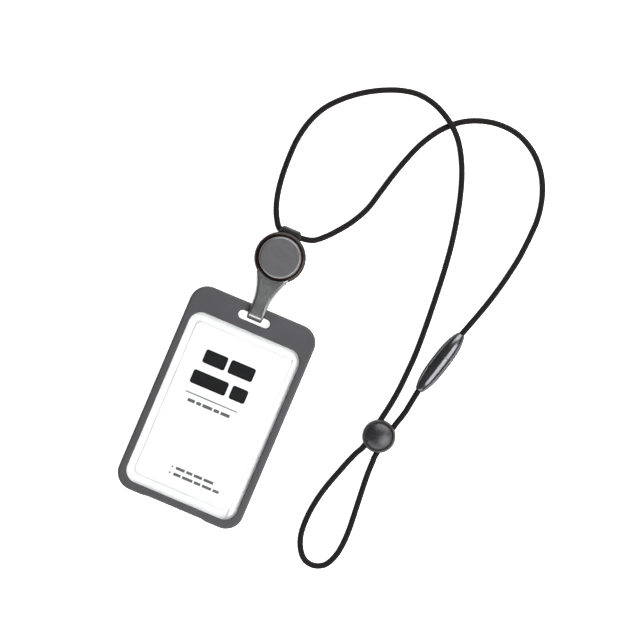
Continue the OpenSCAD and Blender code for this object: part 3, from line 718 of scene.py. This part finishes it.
HOLDER_W = holder_high.x - holder_low.x
HOLDER_H = holder_high.y - holder_low.y
HOLDER_Y = (holder_high.y + holder_low.y) / 2
HOLDER_R = 9.6 * MM
SLOT_W, SLOT_H = mm(17.4, 4.5)
MOUTH_W, MOUTH_ROOM = mm(54.2, 0.1)
SLOT_Y = holder_high.y - BAR_W - SLOT_H / 2
LAP = 1.2 * MM                       # how far the pane reaches under the lip
WINDOW_W = pane_high.x - pane_low.x - 2 * LAP
WINDOW_H = pane_high.y - pane_low.y - 2 * LAP
WINDOW_Y = (pane_high.y + pane_low.y) / 2
WINDOW_R = 6.8 * MM
NOTCH_W = SLOT_W - SLOT_H
TRAY_LAP = 0.9 * MM                  # the tray is this much larger than the window at each side


def holder_outline():
    loop = rounded_box(HOLDER_W, HOLDER_H, HOLDER_R, 0, HOLDER_Y, 14, 24)
    return relieved(loop, holder_low.y, 0.5 * MM, 18 * MM)


SLOT = rounded_box(SLOT_W, SLOT_H, SLOT_H / 2 - 0.01 * MM, 0, SLOT_Y, 12, 6)
LIP_Z = pane_high.z + 0.05 * MM
POCKET = 1.3 * MM                    # the pane's seat reaches this far out under the lip


def mouth_cutter():
    """The card's way out through the bottom edge."""
    y0, y1 = holder_low.y - MM, WINDOW_Y - WINDOW_H / 2 + 0.4 * MM
    loop = rounded_box(MOUTH_W, y1 - y0, 0.05 * MM, 0, (y0 + y1) / 2, 2, 2)
    return plate("cutter", (loop, walls(card_low.z - MOUTH_ROOM, card_high.z + MOUTH_ROOM)))


def make_holder_front():
    window = rounded_box(WINDOW_W, WINDOW_H, WINDOW_R, 0, WINDOW_Y, 14, 8)
    lip = [(POCKET, frame_low.z), (POCKET, LIP_Z)] + walls(LIP_Z, frame_high.z, 0, 0.5 * MM, 3)
    edge = walls(frame_low.z, frame_high.z, 0.12 * MM, 1.2 * MM, 5)
    slot_edge = walls(frame_low.z, frame_high.z, 0.3 * MM, 0.6 * MM, 4)
    front = plate("holder_front", (holder_outline(), edge), (window, lip), (SLOT, slot_edge))
    cut_away(front, mouth_cutter())
    finish_piece(front, HOLDER, "holder", "holder_frame")


def make_holder_rear():
    """The back shell: a tray that is open at the top edge behind the hook's bar."""
    top = holder_high.y
    loop = holder_outline()
    start = next(i for i, (x, y) in enumerate(loop) if y > top - 1e-6 and x < NOTCH_W / 2)
    end = next(i for i, (x, y) in enumerate(loop) if y > top - 1e-6 and x < -NOTCH_W / 2)
    right = [p for p in SLOT if p[0] > NOTCH_W / 2 - 1e-6]
    right.sort(key=lambda p: -math.atan2(p[1] - SLOT_Y, p[0] - NOTCH_W / 2))
    left = [(-x, y) for x, y in reversed(right)]
    notch = [(NOTCH_W / 2, top)] + right + left + [(-NOTCH_W / 2, top)]
    outline = loop[:start] + notch + loop[end:]
    floor_z = 1.6 * MM
    tray_w, tray_h = WINDOW_W + 2 * TRAY_LAP, WINDOW_H + 2 * TRAY_LAP
    tray = rounded_box(tray_w, tray_h, WINDOW_R, 0, WINDOW_Y, 12, 8)
    thumb_y = WINDOW_Y - 24 * MM
    thumb = rounded_box(18 * MM, 26 * MM, 9 * MM - 1e-5, 0, thumb_y, 14, 4)
    floor = plate("floor", (outline, walls(holder_low.z, floor_z, 0.9 * MM, 0, 4)),
                  (thumb, walls(holder_low.z, floor_z, 0.5 * MM, 0.1 * MM, 3)))
    ring = plate("ring", (outline, walls(floor_z, holder_high.z, 0, 0.12 * MM, 1)),
                 (tray, walls(floor_z, holder_high.z, 0, 0.1 * MM, 1)))
    cut_away(ring, mouth_cutter())
    rear = join([floor, ring], "holder_rear")
    finish_piece(rear, HOLDER, "holder", "holder_back")


make_holder_front()
make_holder_rear()


# ------------ the card and its window
def make_card():
    w, h = card_high.x - card_low.x, card_high.y - card_low.y
    loop = rounded_box(w, h, 3.2 * MM, 0, WINDOW_Y, 10, 6)
    card = plate("badge_card", (loop, walls(card_low.z, card_high.z, 0.1 * MM, 0.4 * MM, 4)))
    finish_piece(card, CARD, "card", "id_card")


def make_print():
    """Generic marks in place of a printed layout: two heavy rows, a rule and small rows."""
    z0, z1 = card_high.z - 0.02 * MM, card_high.z + 0.03 * MM
    heavy = [(-10.3, 0.5, 12.4, 7.4), (4.6, 0.5, 13.8, 7.4),
             (-8.6, -11.5, 19.8, 7.4), (7.9, -11.5, 8.8, 7.4)]
    fine = [(-3.7, -20.2, 29.1, 0.6)]
    space = 0.9
    for left, y, tall, widths in ((-15.6, -23.9, 1.7, (4, 2.6, 5.4, 3, 5)),
                                  (-7.3, -59.2, 1.5, (5, 3.4, 4.6, 5.4)),
                                  (-7.3, -62.5, 1.5, (4, 5.8, 3.6, 5.2, 3.4))):
        x = left
        for wide in widths:
            fine.append((x + wide / 2, y, wide, tall))
            x += wide + space
    fine += [(-9.3, -59.2, 0.9, 0.9), (-9.3, -62.5, 0.9, 0.9)]
    for name, marks, material in (("card_heavy_marks", heavy, PRINT),
                                  ("card_small_marks", fine, PALE_PRINT)):
        parts = []
        for x, y, wide, tall in marks:
            corner = min(wide, tall) * 0.16
            loop = rounded_box(wide * MM, tall * MM, corner * MM, x * MM, y * MM, 4, 0)
            parts.append(plate("mark", (loop, walls(z0, z1))))
        finish_piece(join(parts, name), material, "card")


def make_pane():
    w, h = pane_high.x - pane_low.x, pane_high.y - pane_low.y
    loop = rounded_box(w, h, WINDOW_R + LAP, 0, WINDOW_Y, 12, 4)
    pane = plate("window_clear", (loop, walls(pane_low.z, pane_high.z, 0.1 * MM, 0.1 * MM, 1)))
    finish_piece(pane, PANE, "holder", "window_pane", edge_wear_and_shade=False)


make_card()
make_print()
make_pane()


# ------------ the reel
def turned(name, profile, material, node, corner):
    """A round piece of the reel, from (radius, z) points in millimetres."""
    piece = lathe(name, softened(mm_pairs(profile), corner * MM), 128, REEL)
    finish_piece(piece, material, "reel", node)


def make_reel():
    bore = 1.52                      # round the axle
    wall, step = 1.25, 0.5           # of the side, and down to the seat of the disc
    rim, seat = RIM_R / MM, front_low.z / MM
    low, high, split = back_low.z / MM, front_high.z / MM, back_high.z / MM
    turned("reel_rim", [(bore, high - 1), (rim - wall, high - 1), (rim - wall, seat), (rim, seat),
                        (rim, high - 1.1), (rim - 0.9, high - 0.1), (rim - 1.7, high),
                        (10.7, high), (10.6, high - step), (9.4, high - step), (9.4, high), (bore, high)],
           RIM, "reel_front_shell", 0.35)
    turned("reel_base", [(bore, low), (9.7, low), (10.1, low + 0.12), (10.5, low), (rim, split - step),
                         (rim, split), (rim - wall, split), (9.9, low + 1), (bore, low + 1)],
           RIM, "reel_back_shell", 0.25)
    r, top, under = CAP_R / MM, cap_high.z / MM, cap_low.z / MM
    turned("reel_disc", [(0, top - 1.0), (9.5, top - 1.0), (9.5, under), (10.4, under),
                         (10.4, high + 0.05), (r, high + 0.05), (r, top - 0.75), (r - 0.18, top - 0.45),
                         (r - 0.75, top - 0.06), (r - 1.0, top), (0, top)],
           CAP, "reel_cap", 0.12)


make_reel()


# ------------ the strap
# All in millimetres, and heights are above the hinge line.
HOOK_HALF = 4.3                      # half the hook's width
HOOK_R = 4.2                         # round the outside of the hook, which is also its middle's z
BAND_T = 1.5                         # the hook's thickness
HOOK_TOP = 2 * HOOK_R
WAIST = 2.2                          # where the arm starts to widen
SIDE_CURVE = 33                      # the radius of its sides
HOOK_BEND = -1.3                     # the middle of the hook's bend
HEAD_HALF = 8.4
HEAD_LOW = 5.05                      # the head's under side


def share_between(value, start, span):
    return max(0.0, min(1.0, (value - start) / span))


def strap_half(h):
    """Half the strap's width at height h."""
    if h < WAIST:
        return HOOK_HALF
    return min(HEAD_HALF, HOOK_HALF + SIDE_CURVE - math.sqrt(SIDE_CURVE ** 2 - (h - WAIST) ** 2))


def strap_top(h):
    """The arm's z at height h: level at the hook, rising to the reel's rim."""
    return HOOK_TOP + (strap_top_z / MM - HOOK_TOP) * share_between(h, 2.6, 12.2)


def strap_low_side(h):
    return 6.9 + (HEAD_LOW - 6.9) * share_between(h, 4.6, 8)


def across_band(u, half, wide, thick):
    """A column's x on the band, and how far it lies below the band's face: two facets at each side."""
    side = math.copysign(1, u)
    outer = min(0.5, wide * 0.35)
    if abs(u) < 0.96:
        return u * (half - wide) / 0.97, 0
    if abs(u) < 0.98:
        return side * (half - wide), 0
    if abs(u) < 1:
        return side * (half - outer), (wide - outer) * 0.62
    return side * half, min(1.9, thick - 0.3)


def under_band(u, half, wide):
    """The same column on the band's under side, whose edges are only eased."""
    side = math.copysign(1, u)
    if abs(u) < 0.96:
        return u * (half - wide) / 0.97, 0
    if abs(u) < 0.98:
        return side * (half - 0.6), 0
    if abs(u) < 1:
        return side * (half - 0.2), 0
    return side * half, 0.2


def make_strap():
    """One loft: from the concave head at the reel, down the arm, round the hook to its tip."""
    reach = (REEL.y - HINGE_Y) / MM
    columns = [-1, -0.985, -0.97, -0.72, -0.45, -0.2, 0, 0.2, 0.45, 0.72, 0.97, 0.985, 1]
    rows = []

    def row(height, top, low, bow=0.0, radius=0.0, wide=1.7):
        upper, lower = [], []
        for u in columns:
            h = height
            for _ in range(12):      # h and the width settle together
                x = across_band(u, strap_half(h), wide, 2)[0]
                curve = reach - math.sqrt(max(0.01, radius ** 2 - x ** 2)) if radius else height
                h = height * (1 - bow) + curve * bow
            face = top if top is not None else strap_top(h)
            back = low if low is not None else strap_low_side(h)
            x, drop = across_band(u, strap_half(h), wide, face - back)
            upper.append(Vector(mm(x, HINGE_Y / MM + h, face - drop)))
            x, rise = under_band(u, strap_half(h), wide)
            lower.append(Vector(mm(x, HINGE_Y / MM + h, back + rise)))
        return upper + lower[::-1]

    high = strap_top_z / MM
    under = high - 1.45
    for radius, top, low in ((12.4, high - 0.35, under), (12.55, high - 0.15, under),
                             (13.2, high - 0.15, under), (13.35, high - 0.4, under),
                             (13.6, high - 0.4, under), (13.75, high, under), (14.1, high, under),
                             (14.1, high, HEAD_LOW)):
        rows.append(row(0, top, low, 1.0, radius))
    for i, height in enumerate((14.2, 12.6, 11, 9, 7, 5, 3.4, 2.6)):
        bow = max(0.0, 0.75 - 0.25 * i)
        shrink = max(0.0, (8 - height) / 8)
        rows.append(row(height, None, None, bow, 15.7 if bow else 0, 1.7 - 0.4 * shrink))

    def hook_row(y, z, angle, wide=1.1):
        """A row across the band, which faces outwards at that angle from +Z towards -Y."""
        out = Vector((0, -math.sin(math.radians(angle)), math.cos(math.radians(angle))))
        base = Vector((0, HINGE_Y / MM + y, z))
        upper, lower = [], []
        for u in columns:
            x, drop = across_band(u, HOOK_HALF, wide, BAND_T)
            upper.append((base - out * drop + Vector((x, 0, 0))) * MM)
            x, rise = under_band(u, HOOK_HALF, wide)
            lower.append((base - out * (BAND_T - rise) + Vector((x, 0, 0))) * MM)
        return upper + lower[::-1]

    def bend_row(middle, angle, wide):
        turn = math.radians(angle)
        return hook_row(middle - HOOK_R * math.sin(turn), HOOK_R + HOOK_R * math.cos(turn), angle, wide)

    narrow = 0.6
    rows.append(hook_row(-0.2, HOOK_TOP, 0))
    rows += [bend_row(HOOK_BEND, 180 * i / 12, 1.1 - 0.5 * i / 12) for i in range(13)]
    rows.append(hook_row(0.6, 0, 180, narrow))
    rows += [bend_row(2.6, 180 + 104 * i / 8, narrow) for i in range(9)]
    bm = bmesh.new()
    rings = [[bm.verts.new(p) for p in points] for points in rows]
    band(bm, rings)
    n, c = len(rings[0]), len(columns)
    for ring in (rings[0], rings[-1]):
        for i in range(c - 1):
            bm.faces.new((ring[i], ring[i + 1], ring[n - 2 - i], ring[n - 1 - i]))
    strap = from_bmesh("strap", bm, 25)
    drill(strap, [(0, 0), (0.8, 0), (0.8, 16), (0, 16)],
          Matrix.Translation((0, HINGE_Y + HOOK_BEND * MM, HOOK_R * MM))
          @ Matrix.Rotation(math.radians(135), 4, "X"), 32)
    bevel(strap, 0.22 * MM, 3, 24)
    finish_piece(strap, STRAP, "strap", "strap_hook")


make_strap()


# ------------ the sliding clip
PLATE_T = 3.2 * MM
SKIN_T = 1.2 * MM
PEAR_Y, PEAR_R = -0.8, 7.9           # the round lower end, from the reel's middle, in millimetres


def pear():
    """The clip plate's outline: a round lower end and a narrower top."""
    lower = arc(0, PEAR_Y, PEAR_R, 163, 377, 40)
    side = [(6.95, 4.6), (6.5, 7.4), (6.3, 10), (6.3, 13), (5.9, 14.4), (4.95, 16.1), (4.5, 16.5)]
    loop = lower + side + [(0, 16.5)] + [(-x, y) for x, y in reversed(side)]
    return [mm(x, y + REEL.y / MM) for x, y in loop]


def make_clip():
    slot = rounded_box(4 * MM, 13.6 * MM, 1.99 * MM, 0, REEL.y + 3 * MM, 12, 4)
    skin = plate("skin", (pear(), walls(0, SKIN_T, 0.55 * MM, 0, 3)),
                 (slot, walls(0, SKIN_T, 0.3 * MM, 0, 3)))
    bm = bmesh.new()
    bm.from_mesh(skin.data)
    crease = REEL.y - 4.4 * MM
    bmesh.ops.bisect_plane(bm, geom=bm.verts[:] + bm.edges[:] + bm.faces[:], dist=1e-7,
                           plane_co=(0, crease, 0), plane_no=(0, 1, 0))
    for vertex in bm.verts:
        if vertex.co.y < crease and vertex.co.z < SKIN_T - 1e-6:
            rise = (crease - vertex.co.y) * 0.2
            vertex.co.z = min(SKIN_T - 0.1 * MM, vertex.co.z + rise)
    bm.to_mesh(skin.data)
    bm.free()
    side = 4.3 * MM
    outline = pear()
    gap = [i for i, (x, y) in enumerate(outline) if y < REEL.y and abs(x) < side]
    low = REEL.y + PEAR_Y * MM - math.sqrt((PEAR_R * MM) ** 2 - side ** 2)
    high = REEL.y + 11.3 * MM
    u_shape = [(side, low)] + outline[gap[-1] + 1:] + outline[:gap[0]]
    u_shape += [(-side, low), (-side, high), (side, high)]
    cheek = plate("cheek", (u_shape, walls(SKIN_T, PLATE_T, 0, 0.12 * MM, 2, 0.1 * MM)))
    hood = make_hood()
    clip = join([skin, cheek, hood], "clip_body")
    finish_piece(clip, CLIP, "clip", "clip_plate")


def make_hood():
    """The fold over the cord: a C in side view, with chamfered flanks, cut back round the rim."""
    clear = RIM_R / MM + 0.35
    top = hood_top / MM
    outer = [(13.2, 2.2), (15.7, 2.2), (16.3, 2.6), (16.5, 3.4), (16.5, 6.4), (16.1, 7.3), (15.2, top),
             (12.6, top)]
    inner = [(12.6, top - 1), (14.9, top - 1), (15.35, top - 1.25), (15.55, top - 1.7), (15.55, 3.25),
             (13.2, 3.25)]

    def half(y):
        return 6.3 if y < 13.5 else 6.3 - (y - 13.5) / 3 * 1.6

    columns = [-1, -0.985, -0.75, -0.5, -0.25, 0, 0.25, 0.5, 0.75, 0.985, 1]
    bm = bmesh.new()
    rings = []
    for u in columns:
        ring = []
        for i, (y, z) in enumerate(outer + inner):
            wide = half(y)
            x = math.copysign(wide, u) if abs(u) == 1 else u * (wide - 0.5) / 0.985
            drop = 0
            if abs(u) == 1 and i < len(outer) and z > 4:
                drop = 0.45
            if y < 12.7 and z > 4:
                y = math.sqrt(clear ** 2 - x * x)
            z = z - drop if z > 7 else z
            y = y - drop * 0.6 if y > 16.2 else y
            ring.append(bm.verts.new(mm(x, y + REEL.y / MM, z)))
        rings.append(ring)
    band(bm, rings)
    for ring in (rings[0], rings[-1]):
        for triangle in geometry.tessellate_polygon([[v.co for v in ring]]):
            bm.faces.new([ring[i] for i in triangle])
    hood = from_bmesh("hood", bm, 30)
    return bevel(hood, 0.1 * MM, 2, 30)


make_clip()


# ------------ the cord lock
def lock_hole(side, rise=0):
    """The place of the lock's hole on that side, with its z along the cord."""
    x, y, z = lock_at(side, 0)
    return (Matrix.Translation(mm(x, y, z + rise)) @ Matrix.Rotation(-LOCK_TURN, 4, "Z")
            @ Matrix.Rotation(math.radians(90), 4, "X"))


def make_lock():
    r, top, floor = LOCK_R / MM, housing_high.z / MM, 0.8
    bore = (button_high.x - button_low.x) / 2 / MM + 0.06
    past = 11                        # how far along its axis a hole's cutter reaches
    hole_r, mouth_r = 1.85, 2.4
    ring = mm_pairs([(0, 0), (r - 0.9, 0), (r - 0.1, 0.9), (r, 2.4), (r, top - 2.2), (r - 0.25, top - 0.9),
                     (r - 0.9, top - 0.1), (bore + 0.35, top), (bore, top - 0.3), (bore, floor), (0, floor)])
    housing = lathe("lock_ring", softened(ring, 0.45 * MM, 4), 128, LOCK)
    for side in (-1, 1):
        drill(housing, [(0, -past), (mouth_r, -past), (hole_r, -6.5), (hole_r, 4.5),
                        (2.7, past), (0, past)], lock_hole(side))
    bevel(housing, 0.22 * MM, 3, 38)
    finish_piece(housing, LOCK_RING, "lock", "lock_housing")
    edge, dome, low = button_high.x - LOCK.x, button_high.z, button_low.z
    rise = 2.1 * MM
    bow = (edge ** 2 + rise ** 2) / 2 / rise
    curve = [(bow * math.sin(a), dome - bow + bow * math.cos(a))
             for a in (math.asin(edge / bow) * i / 16 for i in range(15, -1, -1))]
    profile = [(0, low), (edge - 0.3 * MM, low), (edge, low + 0.3 * MM), (edge, dome - rise - 0.35 * MM),
               (edge - 0.08 * MM, dome - rise - 0.12 * MM)] + curve
    button = lathe("lock_cap", profile, 128, LOCK)
    for side in (-1, 1):
        for travel in (0, 1.4):
            drill(button, [(0, -past), (hole_r, -past), (hole_r, past), (0, past)],
                  lock_hole(side, travel))
    finish_piece(button, LOCK_CAP, "lock_button", "lock_button")


make_lock()


# ------------ the breakaway clasp
def clasp_shell(name):
    """The whole clasp's barrel, turned about its own axis, with a bore at each end."""
    half, r, end = CLASP_L / 2, CLASP_R, 2.0 * MM
    steps = 48
    outer = []
    for i in range(steps + 1):
        s = -1 + 2 * i / steps
        outer.append((end + (r - end) * (1 - abs(s) ** 3), s * half))
    bore = 1.68 * MM
    deep = half - 8.1 * MM
    ends = 0.12 * MM
    profile = [(0, -deep), (bore, -deep), (bore, -half), (outer[0][0] - ends, -half)]
    profile += [(outer[0][0], -half + ends)] + outer[1:-1] + [(outer[-1][0], half - ends)]
    profile += [(outer[-1][0] - ends, half), (bore, half), (bore, deep), (0, deep)]
    shell = lathe(name, profile, 96)
    shell.data.transform(Matrix.Rotation(math.radians(-90), 4, "X"))
    return shell


def clasp_split(gap):
    """The lower half's outline from above in the clasp's own frame: a round-ended tongue on its right."""
    low, high, r, side = -5.5, 3.5, 2.5, -0.8
    wide, past = 9, -24              # beyond the barrel's sides and its lower end
    loop = [(-wide, past), (wide, past), (wide, high + gap)]
    loop += arc(side + r, high - r, r + gap, 90, 180, 12)
    loop += [(side - gap, low + gap), (-wide, low + gap)]
    return mm_pairs(loop)


def make_clasp():
    """Two halves with a fine gap between them, which nearly closes towards the table."""
    place = Matrix.Translation(CLASP) @ Matrix.Rotation(-CLASP_TURN, 4, "Z")
    reach = 9 * MM
    for name, operation, gap, body, node in (
            ("clasp_half_low", "INTERSECT", 0.0, "reel", "clasp_lower"),
            ("clasp_half_high", "DIFFERENCE", 0.14, "clasp_upper", "clasp_upper")):
        half = clasp_shell(name)
        tight = gap * 0.8 * MM
        levels = [(tight, -reach), (tight, -2.5 * MM), (0, -2.4 * MM), (0, reach)]
        cut_away(half, plate("cutter", (clasp_split(gap), levels)), operation)
        bevel(half, 0.2 * MM, 3, 32)
        half.data.transform(place)
        finish_piece(half, CLASP_LOOK, body, node)


make_clasp()


# ------------ the line to the strap
def make_line():
    """The pulled line: it stretches from the eyelet to the crimp in the strap."""
    reel_y, z = REEL.y / MM, 7.05
    start, end = reel_y - 12.6, reel_y - 15.8
    path = [Vector(mm(0, start + (end - start) * i / 60, z)) for i in range(61)]
    lead = sweep("pulled_line", path, 0.35 * MM, 12, 0.02 * MM, 0.9 * MM)
    dress(lead, LINE, "line_lead")
    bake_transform(lead)


make_line()


# ------------ coil springs
def make_spring(name, node, axis, downwards, wire, turns):
    """A coil spring along an axis from its still end."""
    low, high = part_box(node)
    start, end = (low + high) / 2, (low + high) / 2
    ends = low[axis] + wire, high[axis] - wire
    start[axis], end[axis] = reversed(ends) if downwards else ends
    side = Vector((1, 0, 0))
    across = (end - start).normalized().cross(side)
    radius = (high.x - low.x) / 2 - wire
    steps = 24 * turns
    path = []
    for i in range(steps + 1):
        angle = math.tau * turns * i / steps
        out = side * math.cos(angle) + across * math.sin(angle)
        path.append(start.lerp(end, i / steps) + out * radius)
    spring = sweep(name, path, wire, 10)
    dress(spring, SPRING, node)
    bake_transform(spring)


make_spring("clip_coil", "clip_spring", 1, True, 0.17 * MM, 9)
make_spring("lock_coil", "lock_spring", 2, False, 0.2 * MM, 6)


# ------------ CAD pieces that stay
KEPT = {"holder_liner": LINER, "line_crimp": BRASS, "reel_spool": SPOOL, "wound_line": LINE,
        "power_spring": SPRING}
for node in ("reel_axle", "line_eyelet", "clip_rail", "rail_screws", "clip_rod", "lower_ferrule",
             "upper_ferrule"):
    KEPT[node] = STEEL
for node, material in KEPT.items():
    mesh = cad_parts[node].data
    mesh.materials.clear()
    mesh.materials.append(material)


# ------------ floor and light
def make_world(turn):
    """A studio that is bright overhead, dark low down on the left and brighter on the right."""
    world = bpy.data.worlds.new("studio")
    bpy.context.scene.world = world
    world.use_nodes = True
    tree = world.node_tree
    coords = tree.nodes.new("ShaderNodeTexCoord")
    side = tree.nodes.new("ShaderNodeVectorMath")
    side.operation = "DOT_PRODUCT"
    side.inputs[1].default_value = (math.cos(turn), math.sin(turn), 0)
    level = tree.nodes.new("ShaderNodeMapRange")
    level.interpolation_type = "SMOOTHSTEP"
    for key, value in (("From Min", -0.95), ("From Max", 0.1), ("To Min", 0.03), ("To Max", 0.68)):
        level.inputs[key].default_value = value
    tree.links.new(coords.outputs["Generated"], side.inputs[0])
    tree.links.new(side.outputs["Value"], level.inputs["Value"])
    tree.links.new(level.outputs["Result"], tree.nodes["Background"].inputs["Strength"])


def make_stage():
    bm = bmesh.new()
    bm.faces.new([bm.verts.new((x, y, 0)) for x, y in ((-3, -3), (3, -3), (3, 3), (-3, 3))])
    floor = from_bmesh("floor", bm)
    floor.location.z = -0.05 * MM
    look = Look("paper", (0.9, 0.9, 0.9), 0.8, specular=0.2)
    look.vary(look.noise(8, 2), 0.995, 1.005)
    look.shader.inputs["Emission Color"].default_value = (1, 1, 1, 1)
    look.shader.inputs["Emission Strength"].default_value = 0.95
    floor.data.materials.append(look.done())

    def softbox(name, place, aim, width, height, power):
        lamp = bpy.data.objects.new(name, bpy.data.lights.new(name, "AREA"))
        bpy.context.scene.collection.objects.link(lamp)
        lamp.data.shape = "RECTANGLE"
        lamp.data.size, lamp.data.size_y = width, height
        lamp.data.energy = power
        lamp.location = place
        lamp.rotation_euler = (Vector(aim) - Vector(place)).to_track_quat("-Z", "Y").to_euler()
        lamp.visible_camera = False

    turn = math.radians(-12)
    softbox("side", (0.62 * math.cos(turn), 0.62 * math.sin(turn), 0.74), (0.05, 0, 0), 0.9, 0.7, 14)
    softbox("far", (0.1, 1.1, 0.85), (0.03, 0.05, 0), 1.6, 0.9, 27)
    softbox("near", (0, -1.1, 0.6), (0.03, 0.05, 0), 1.6, 0.5, 14)
    make_world(turn)
    bpy.context.scene.view_settings.view_transform = "Standard"
    bpy.context.scene.view_settings.look = "None"
    bpy.context.scene.view_settings.exposure = -0.1


make_stage()
